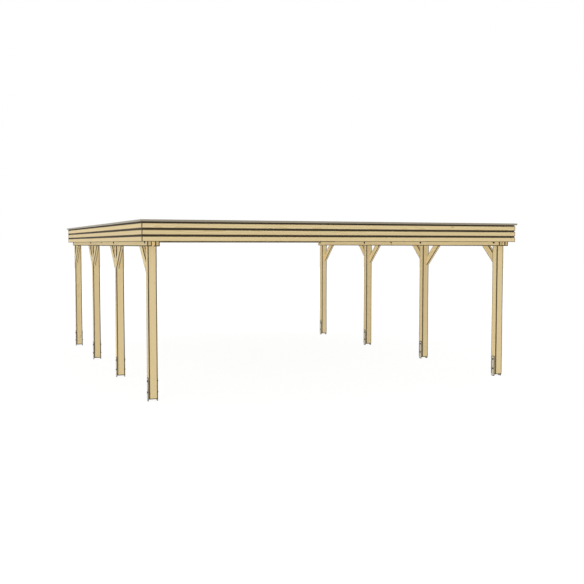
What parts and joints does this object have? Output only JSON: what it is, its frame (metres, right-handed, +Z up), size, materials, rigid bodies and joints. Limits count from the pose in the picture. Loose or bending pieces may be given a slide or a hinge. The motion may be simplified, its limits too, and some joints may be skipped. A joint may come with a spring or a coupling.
{
  "type": "carport",
  "caption": "Free-standing flat-roofed double carport of square timber posts on steel anchors, with twin beams, knee braces, an open-board fascia and a metal cap.",
  "frame": {"origin": "middle of the carport's footprint at ground level", "axes": "+Z up, the open vehicle entrance faces -Y, +X to the right when looking in at the front from outside"},
  "size_m": [5.944, 6.983, 2.419],
  "materials": {
    "timber": "planed softwood, impregnated, matt",
    "fascia_timber": "planed softwood boards, matt",
    "anchor_steel": "hot-dip galvanised steel, matt",
    "cap_metal": "folded aluminium, satin",
    "fascia_backing": "dark brown weatherproof sheet, matt",
    "roof_sheet": "coated profiled steel sheet, satin"
  },
  "bodies": {
    "root": {"post_left_front": "timber", "anchor_left_front": "anchor_steel", "brace_left_front": "timber", "post_left_mid_front": "timber", "anchor_left_mid_front": "anchor_steel", "brace_left_mid_front": "timber", "post_left_mid_rear": "timber", "anchor_left_mid_rear": "anchor_steel", "brace_left_mid_rear": "timber", "post_left_rear": "timber", "anchor_left_rear": "anchor_steel", "brace_left_rear": "timber", "beam_left_outer_front": "timber", "beam_left_outer_rear": "timber", "beam_left_inner_front": "timber", "beam_left_inner_rear": "timber", "post_right_front": "timber", "anchor_right_front": "anchor_steel", "brace_right_front": "timber", "post_right_mid_front": "timber", "anchor_right_mid_front": "anchor_steel", "brace_right_mid_front": "timber", "post_right_mid_rear": "timber", "anchor_right_mid_rear": "anchor_steel", "brace_right_mid_rear": "timber", "post_right_rear": "timber", "anchor_right_rear": "anchor_steel", "brace_right_rear": "timber", "beam_right_outer_front": "timber", "beam_right_outer_rear": "timber", "beam_right_inner_front": "timber", "beam_right_inner_rear": "timber", "rafters": "timber", "fascia_front": "fascia_timber", "cap_front": "cap_metal", "fascia_rear": "fascia_timber", "cap_rear": "cap_metal", "fascia_left": "fascia_timber", "cap_left": "cap_metal", "fascia_right": "fascia_timber", "cap_right": "cap_metal", "fascia_bearers_sides": "timber", "fascia_bearers_ends": "timber", "fascia_backing": "fascia_backing", "roof_sheets": "roof_sheet"}
  },
  "joints": []
}
